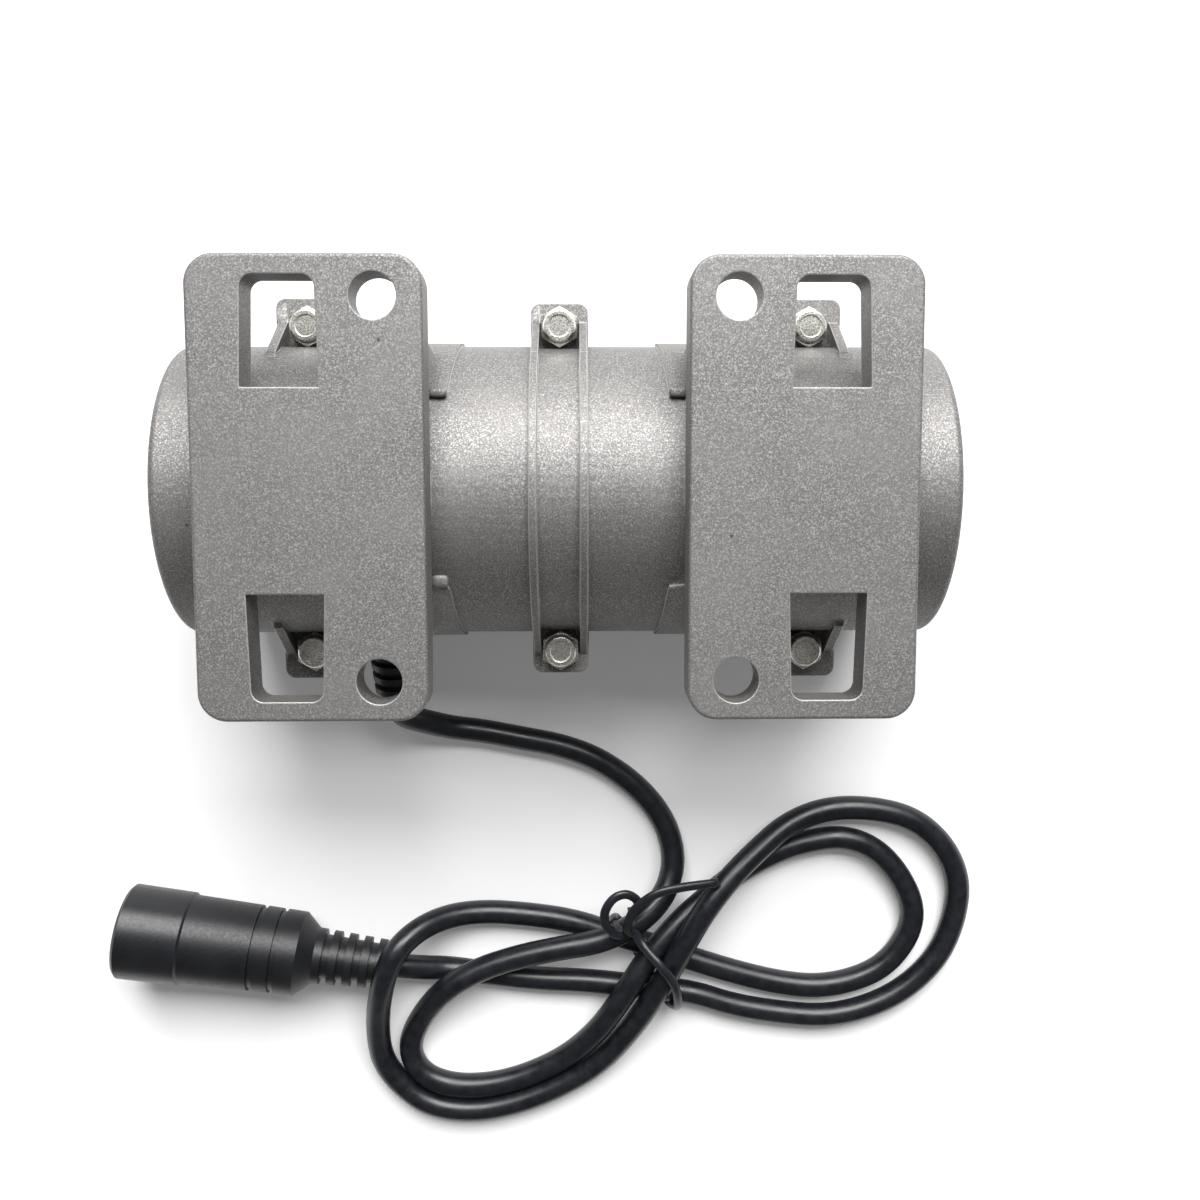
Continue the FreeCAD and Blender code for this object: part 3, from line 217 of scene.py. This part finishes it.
def moulded_plastic(name, dark, light, rough, grain_mm=0.5, depth_mm=0.02):
    """Moulded plastic or nylon: one colour, its sheen broken by the fine grain of the mould."""
    material, shader, place = blank(name)
    grain = speckle(material, place, grain_mm, 3.0, 0.6)
    blotch = speckle(material, place, grain_mm * 14, 2.0, 0.5)
    tint = ramp(material, blotch, (0.3, dark), (0.7, light))
    gloss = span(material, grain, 0.3, 0.7, rough - 0.06, rough + 0.08)
    normal = bump(material, grain, depth_mm)
    return finish_shader(material, shader, Base_Color=tint, Roughness=gloss, IOR=1.5, Normal=normal)


def pvc_jacket():
    """Extruded PVC cord jacket: black, semi-gloss, faintly drawn along its length and rubbed dull."""
    material, shader, place = blank("pvc_jacket")
    scuff = speckle(material, place, 2.5, 4.0, 0.6)
    grain = speckle(material, place, 0.4, 2.0, 0.5)
    tint = ramp(material, scuff, (0.35, "#101216"), (0.70, "#1d2026"))
    gloss = span(material, scuff, 0.3, 0.7, 0.28, 0.40)
    normal = bump(material, grain, 0.008)
    return finish_shader(material, shader, Base_Color=tint, Roughness=gloss, IOR=1.53, Normal=normal)


def turned_steel(name, code, rough, lines_mm):
    """Turned or ground steel: fine marks round the axis, which runs along X."""
    material, shader, place = blank(name)
    along = add(material, "ShaderNodeMapping", {"Vector": place, "Scale": (1.0, 0.02, 0.02)})
    lines = speckle(material, along.outputs["Vector"], lines_mm, 3.0, 0.6)
    tint = ramp(material, lines, (0.3, code), (0.7, "#d4d5d8"))
    gloss = span(material, lines, 0.3, 0.7, rough, rough + 0.12)
    normal = bump(material, lines, 0.004)
    return finish_shader(
        material, shader, Base_Color=tint, Metallic=1.0, Roughness=gloss, Normal=normal
    )


def banded(name, first, second, pitch_mm, direction, metallic, rough, depth_mm):
    """Thin layers or turns side by side, such as laminations or wire, one pitch_mm apart."""
    material, shader, place = blank(name)
    inputs = {"Vector": place, "Scale": 1000 / pitch_mm / 20 * math.pi, "Distortion": 0.0}
    bands = add(material, "ShaderNodeTexWave", inputs, bands_direction=direction).outputs["Fac"]
    dirt = speckle(material, place, 1.2, 3.0, 0.6)
    layered = ramp(material, bands, (0.1, first), (0.6, second))
    tint = mix(material, span(material, dirt, 0.4, 0.8, 0.0, 0.25), layered, colour(first))
    normal = bump(material, bands, depth_mm)
    return finish_shader(
        material, shader, Base_Color=tint, Metallic=metallic, Roughness=rough, Normal=normal
    )


def solder_mask():
    """Green solder mask over copper: a faint lighter net where tracks run under the lacquer."""
    material, shader, place = blank("solder_mask")
    cells = add(
        material, "ShaderNodeTexVoronoi", {"Vector": place, "Scale": 350.0}, distance="MANHATTAN"
    ).outputs["Distance"]
    tint = ramp(material, cells, (0.45, "#0f4a2a"), (0.55, "#1c6a3d"))
    normal = bump(material, cells, 0.02)
    return finish_shader(material, shader, Base_Color=tint, Roughness=0.35, IOR=1.5, Normal=normal)


def floor_paper():
    """White paper. To the camera, and in what shines, it is a little lighter than it is lit, so
    that it is white away from the object and still takes the shadow."""
    material, shader, place = blank("floor_paper")
    grain = speckle(material, place, 1.0, 3.0, 0.6)
    tint = ramp(material, grain, (0.3, "#f6f6f6"), (0.7, "#fcfcfc"))
    path = add(material, "ShaderNodeLightPath").outputs
    seen = path["Is Camera Ray"]
    for ray in ("Is Glossy Ray", "Is Transmission Ray"):
        either = add(material, "ShaderNodeMath", operation="MAXIMUM")
        material.node_tree.links.new(seen, either.inputs[0])
        material.node_tree.links.new(path[ray], either.inputs[1])
        seen = either.outputs["Value"]
    lift = span(material, seen, 0.0, 1.0, 0.0, FLOOR_LIFT)
    return finish_shader(
        material,
        shader,
        Base_Color=tint,
        Roughness=0.9,
        Specular_IOR_Level=0.1,
        Emission_Color=colour("#ffffff"),
        Emission_Strength=lift,
    )


def dress(finishes):
    """Give each named CAD node its finish."""
    for material, names in finishes:
        for name in names.split():
            nodes[name].data.materials.clear()
            nodes[name].data.materials.append(material)


# ---------------------------------------------------------------- the cord and its tie

CORD_RADIUS = 2.8

CORD_OUT = [
    (-37.0, -43.75, 15.8), (-37.0, -47.6, 14.6), (-36.0, -50.6, 11.6), (-31.4, -52.9, 7.4),
    (-25.8, -55.0, 4.0), (-19.0, -56.0, 2.8), (-9.5, -57.9, 2.8), (-0.5, -59.6, 2.8),
    (8.5, -63.0, 2.8), (17.6, -69.6, 2.8), (23.8, -77.6, 2.8), (26.2, -86.0, 3.4),
    (24.9, -92.8, 5.0), (21.2, -97.6, 7.4),
]
HANK_ROUTE = [
    # over the top into the inner left loop
    (16.0, -101.5, 8.8), (8.5, -105.0, 8.9), (-1.0, -106.5, 8.8), (-10.5, -108.5, 8.6),
    (-20.0, -111.5, 8.6), (-28.0, -116.0, 9.0), (-34.5, -125.0, 4.6), (-37.6, -133.2, 2.8),
    (-34.8, -139.8, 2.8), (-27.5, -143.0, 2.8), (-18.0, -143.0, 2.8), (-8.5, -140.5, 2.8),
    (1.0, -135.5, 3.4), (8.5, -127.5, 6.0),
    # through the tie and into the inner right loop
    (14.5, -117.0, 9.4), (19.4, -109.2, 8.8), (27.0, -101.0, 7.0), (34.5, -95.5, 4.4),
    (42.0, -90.0, 2.8), (51.5, -85.0, 2.8), (58.5, -83.0, 2.8), (66.0, -82.0, 2.8),
    (73.5, -84.5, 2.8), (79.5, -90.5, 2.8), (83.5, -98.5, 2.8), (83.0, -105.5, 2.8),
    (78.0, -113.0, 2.8), (71.0, -117.0, 2.8), (61.5, -119.0, 2.8), (52.0, -118.0, 2.8),
    (42.0, -115.5, 2.8), (32.5, -112.5, 2.8),
    # back under the tie and into the outer left loop, which rides over the connector's relief
    (21.5, -108.5, 2.8), (10.5, -105.0, 2.8), (1.5, -102.0, 2.8), (-8.5, -100.5, 2.8),
    (-19.0, -99.5, 3.2), (-27.5, -99.5, 6.2), (-34.0, -101.0, 11.0), (-38.8, -105.0, 14.6),
    (-41.5, -112.0, 14.2), (-44.0, -124.0, 8.2), (-44.0, -135.5, 3.6), (-39.5, -142.5, 2.8),
    (-32.5, -148.0, 2.8), (-22.0, -149.5, 2.8), (-11.5, -147.5, 2.8), (-1.5, -143.5, 2.8),
    (8.4, -137.4, 3.4), (16.5, -126.5, 6.6),
    # through the tie again and into the outer right loop
    (22.5, -116.0, 9.4), (27.5, -105.0, 12.4), (32.5, -96.0, 12.8), (38.5, -89.0, 11.0),
    (45.0, -83.5, 8.4), (52.5, -78.0, 5.4), (62.0, -75.0, 3.2), (72.5, -75.0, 2.8),
    (83.0, -77.5, 2.8), (90.5, -84.0, 2.8), (94.5, -93.0, 2.8), (93.5, -102.5, 2.8),
    (90.0, -111.5, 2.8), (83.0, -119.0, 2.8), (74.0, -124.0, 2.8), (63.0, -126.5, 2.8),
    (52.0, -125.5, 2.8), (40.5, -123.5, 2.8),
    # under everything and up into the connector
    (30.5, -120.0, 2.8), (18.0, -118.5, 2.8), (6.0, -117.0, 2.8), (-6.0, -116.5, 2.8),
    (-18.0, -115.0, 2.8), (-27.5, -113.5, 2.9), (-33.5, -112.3, 5.4), (-38.5, -111.0, 7.4),
    (-44.5, -109.6, 8.8),
]


def make_cord():
    """The whole cord, from the gland to the connector's relief, as one smooth round line."""
    data = bpy.data.curves.new("cord", "CURVE")
    data.dimensions = "3D"
    data.bevel_depth, data.bevel_resolution = CORD_RADIUS * MM, 5
    data.resolution_u, data.use_fill_caps = 8, True
    route = CORD_OUT + HANK_ROUTE
    spline = data.splines.new("NURBS")
    spline.points.add(len(route) - 1)
    spline.points.foreach_set("co", (np.c_[np.array(route) * MM, np.ones(len(route))]).ravel())
    spline.order_u, spline.use_endpoint_u = 3, True
    cord = bpy.data.objects.new("cord", data)
    bpy.context.scene.collection.objects.link(cord)
    return cord


def smooth_path(points, per_span=8):
    """A line through the points: on each span, the cubic whose slopes are half the chords across."""
    points = np.asarray(points, float)
    padded = np.vstack([2 * points[0] - points[1], points, 2 * points[-1] - points[-2]])
    t = np.linspace(0, 1, per_span, endpoint=False)[None, :, None]
    a, b, c, d = (padded[i : len(padded) - 3 + i][:, None] for i in range(4))
    spans = b + 0.5 * t * (c - a + t * (2 * a - 5 * b + 4 * c - d + t * (3 * (b - c) + d - a)))
    return np.vstack([spans.reshape(-1, 3), points[-1]])


def grid_mesh(name, places, closed_u=True, capped=True):
    """Make a mesh of a grid of places, rows along it and columns round it, its ends closed."""
    rows, columns = places.shape[:2]
    index = np.arange(rows * columns).reshape(rows, columns)
    nxt = np.roll(index, -1, axis=1) if closed_u else index[:, 1:]
    here = index if closed_u else index[:, :-1]
    faces = np.stack([here[:-1], nxt[:-1], nxt[1:], here[1:]], axis=-1).reshape(-1, 4).tolist()
    if capped:
        faces += [index[0, ::-1].tolist(), index[-1].tolist()]
    mesh = bpy.data.meshes.new(name)
    mesh.from_pydata(places.reshape(-1, 3).tolist(), [], faces)
    mesh.polygons.foreach_set("use_smooth", np.ones(len(faces), bool))
    mesh.update()
    piece = bpy.data.objects.new(name, mesh)
    bpy.context.scene.collection.objects.link(piece)
    return piece


STEEP = 0.2  # the sine of the angle to up, under which a path counts as running along it


def carry(path, half_width, half_height, up=(0, 0, 1), columns=16):
    """Places of an oval carried along a path. Its width lies along the cross product of the path's
    direction and up. Where the path runs nearly along up, the width before it is carried on,
    less its part along the path."""
    along = np.gradient(path, axis=0)
    along /= np.linalg.norm(along, axis=1, keepdims=True)
    side = np.cross(along, np.broadcast_to(up, path.shape))
    size = np.linalg.norm(side, axis=1, keepdims=True)
    side = np.where(size > STEEP, side / np.maximum(size, 1e-6), np.nan)
    before = np.array([1.0, 0.0, 0.0])
    for row in range(len(side)):
        if np.isnan(side[row, 0]):
            side[row] = before - along[row] * before.dot(along[row])
            side[row] /= np.linalg.norm(side[row])
        before = side[row]
    rise = np.cross(side, along)
    turn = np.linspace(0, 2 * np.pi, columns, endpoint=False)[None, :, None]
    across = side[:, None] * half_width * np.cos(turn)
    return path[:, None] + across + rise[:, None] * half_height * np.sin(turn)


TIE_HALF_WIDTH, TIE_HALF_HEIGHT = 1.05, 0.7
TIE_ROUTE = [
    # the long tail
    (35.0, -88.8, 15.2), (33.4, -88.7, 16.0), (26.5, -89.1, 17.4), (20.8, -90.4, 17.8),
    (16.5, -93.8, 17.0), (14.9, -97.1, 15.6), (14.6, -100.2, 14.2),
    # the knot, then once round the waist
    (16.6, -101.6, 12.8), (18.2, -104.2, 13.2), (21.6, -107.6, 15.6), (25.2, -112.6, 15.2),
    (26.6, -119.2, 11.0), (26.0, -122.6, 5.0), (24.0, -121.6, 0.8), (18.6, -112.6, 0.7),
    (13.4, -103.4, 0.8), (11.6, -100.6, 4.6), (12.2, -101.0, 10.0), (13.6, -101.6, 13.0),
    # the short curl
    (11.6, -100.9, 14.6), (9.6, -98.2, 15.6), (9.5, -94.8, 16.2), (11.4, -91.9, 16.4),
    (14.2, -91.0, 16.2), (16.6, -92.6, 15.4), (16.9, -95.2, 14.6), (14.8, -95.8, 14.2),
]


def make_tie():
    """A flat plastic-covered wire tie that follows its own route."""
    path = smooth_path(np.array(TIE_ROUTE) * MM, per_span=6)
    places = carry(path, TIE_HALF_WIDTH * MM, TIE_HALF_HEIGHT * MM)
    return grid_mesh("tie", places)


# ---------------------------------------------------------------- the foot shell's own forms

PAD_ENDS = (19.18, 56.62)  # each pad's extent along X, and a little more
# the cutter's section, Y and Z: it takes the pad's corner and stays clear of the pad's curved top
CORNER_CUTTER = ((31.6, 50.6), (31.6, 57.0), (26.0, 57.0))
WELD = 0.001
SHARPEST_SMOOTH = 18  # degrees
# small cast ledges at the pads' inner ends: their middles and half sizes
LEDGES = {
    "ledge_left_front": ((-22.2, 18.0, 53.9), (1.75, 0.75, 0.75)),
    "ledge_right_front": ((22.2, 18.1, 53.9), (1.75, 0.85, 0.75)),
    "ledge_left_rear": ((-22.2, -16.7, 53.9), (1.65, 1.25, 0.95)),
}


def corner_cutters():
    """Four three-sided bars, one along the outer corner of each pad: a triangle carried along X."""
    across, up = np.array(CORNER_CUTTER).T
    bars = []
    for side_x in (-1, 1):
        for side_y in (-1, 1):
            ends = [np.c_[np.full(3, side_x * end), side_y * across, up] for end in PAD_ENDS]
            if side_x * side_y < 0:
                ends.reverse()
            bars.append(grid_mesh("corner_cutter", np.stack(ends) * MM))
    return bars


def cleared_foot_shell():
    """The foot shell, its pads open to the outer corners: the CAD shell less the four corner bars."""
    shell = nodes["foot_shell"].copy()
    shell.name, shell.data = "foot_shell_cleared", shell.data.copy()
    bpy.context.scene.collection.objects.link(shell)
    loose = bmesh.new()
    loose.from_mesh(shell.data)
    bmesh.ops.remove_doubles(loose, verts=loose.verts, dist=WELD * MM)
    loose.to_mesh(shell.data)
    loose.free()
    cutters = corner_cutters()
    for cutter in cutters:
        cut = shell.modifiers.new("cut", "BOOLEAN")
        cut.operation, cut.solver, cut.object = "DIFFERENCE", "EXACT", cutter
    ready = shell.evaluated_get(bpy.context.evaluated_depsgraph_get())
    shell.data = bpy.data.meshes.new_from_object(ready)
    shell.modifiers.clear()
    for cutter in cutters:
        bpy.data.objects.remove(cutter)
    shell.data.polygons.foreach_set("use_smooth", np.ones(len(shell.data.polygons), bool))
    shell.data.set_sharp_from_angle(angle=math.radians(SHARPEST_SMOOTH))
    even = shell.modifiers.new("even", "WEIGHTED_NORMAL")
    even.keep_sharp, even.weight, even.thresh = True, 100, 0.01
    return shell


def rounded_block(name, middle, half, power=4.0, rows=13, columns=28):
    """A block with soft edges: the places where |x|^p + |y|^p + |z|^p = 1, each measured in its
    own half size."""
    tilt = np.linspace(-np.pi / 2, np.pi / 2, rows)[1:-1, None]
    turn = np.linspace(0, 2 * np.pi, columns, endpoint=False)[None, :]
    ball = (np.cos(tilt) * np.cos(turn), np.cos(tilt) * np.sin(turn), np.sin(tilt))
    unit = np.stack(np.broadcast_arrays(*ball), axis=-1)
    size = (np.abs(unit) ** power).sum(axis=-1, keepdims=True) ** (1 / power)
    return grid_mesh(name, (np.array(middle) + unit / size * np.array(half)) * MM)


# ---------------------------------------------------------------- put together

make_camera()
cord = make_cord()
tie = make_tie()
foot_shell = cleared_foot_shell()
ledges = [rounded_block(name, middle, half) for name, (middle, half) in LEDGES.items()]

black_moulded = moulded_plastic("moulded_black_pvc", "#101114", "#1a1b1f", 0.42, 0.6, 0.02)
cord.data.materials.append(pvc_jacket())
tie.data.materials.append(moulded_plastic("tie_cover", "#14151a", "#22242a", 0.34, 0.3, 0.006))

cast = die_cast_aluminium()
for piece in [foot_shell, *ledges]:
    piece.data.materials.clear()
    piece.data.materials.append(cast)

dress(
    [
        (cast, "foot_shell crown_shell"),
        (zinc_plated_steel(), "shell_screws lock_nuts"),
        (moulded_plastic("nut_nylon", "#c9c8bd", "#dddcd2", 0.5, 0.3, 0.01), "nut_inserts"),
        (black_moulded, "cable_gland connector_body connector_relief connector_insert"),
        (moulded_plastic("collar_plastic", "#131417", "#1d1e22", 0.36, 0.5, 0.01), "connector_sleeve"),
        (turned_steel("contact_brass", "#9a7a35", 0.25, 0.3), "connector_contacts"),
        (
            banded("silicon_steel_stack", "#4a4b4f", "#77797d", 0.5, "X", 0.9, 0.45, 0.05),
            "stator_core rotor_core",
        ),
        (moulded_plastic("glass_filled_nylon", "#cfcdc2", "#e2e0d6", 0.5), "stator_insulators"),
        (banded("enamelled_copper", "#6e2f17", "#c4703c", 0.6, "Z", 0.9, 0.3, 0.12), "stator_coils"),
        (solder_mask(), "driver_board"),
        (moulded_plastic("epoxy_case", "#17181a", "#232427", 0.5), "power_transistors motor_controller"),
        (turned_steel("drawn_aluminium", "#9fa1a5", 0.3, 0.6), "capacitor"),
        (
            turned_steel("bearing_steel", "#8d8f94", 0.14, 0.25),
            "bearing_outer_left bearing_outer_right bearing_inner_left bearing_inner_right "
            "bearing_balls_left bearing_balls_right bearing_cage_left bearing_cage_right "
            "bearing_shields_left bearing_shields_right",
        ),
        (
            turned_steel("blackened_spring_steel", "#2b2c2f", 0.35, 0.4),
            "preload_washer retaining_rings weight_set_screws board_screws",
        ),
        (turned_steel("ground_shaft_steel", "#85878b", 0.18, 0.3), "shaft"),
        (turned_steel("nickel_plated_magnet", "#a3a39e", 0.22, 0.8), "rotor_magnets"),
        (turned_steel("sawn_weight_steel", "#5c5d60", 0.4, 1.2), "eccentric_left eccentric_right"),
    ]
)

for piece, slot, hidden in (
    (cord, "cord_jacket", ("cord_lead", "cord_hank")),
    (tie, "tie_wire", ("cord_tie",)),
    (foot_shell, "cast_housing", ("foot_shell",)),
):
    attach(piece, "housing")
    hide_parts(*hidden)
for ledge in ledges:
    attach(ledge, "housing")

floor_edges = (-FLOOR_HALF, FLOOR_HALF)
floor_corners = np.stack(np.broadcast_arrays(*np.meshgrid(floor_edges, floor_edges), 0.0), axis=-1)
floor = grid_mesh("floor", floor_corners, closed_u=False, capped=False)
floor.data.materials.append(floor_paper())

add_lamp("window", LAMP_PLACE, LAMP_AIM, LAMP_WIDTH, LAMP_HEIGHT, LAMP_POWER)

world = bpy.data.worlds.new("studio")
world.use_nodes = True
sky = world.node_tree.nodes["Background"].inputs
sky["Color"].default_value = colour("#ffffff")
sky["Strength"].default_value = SKY_STRENGTH
bpy.context.scene.world = world
bpy.context.scene.view_settings.view_transform = "Standard"
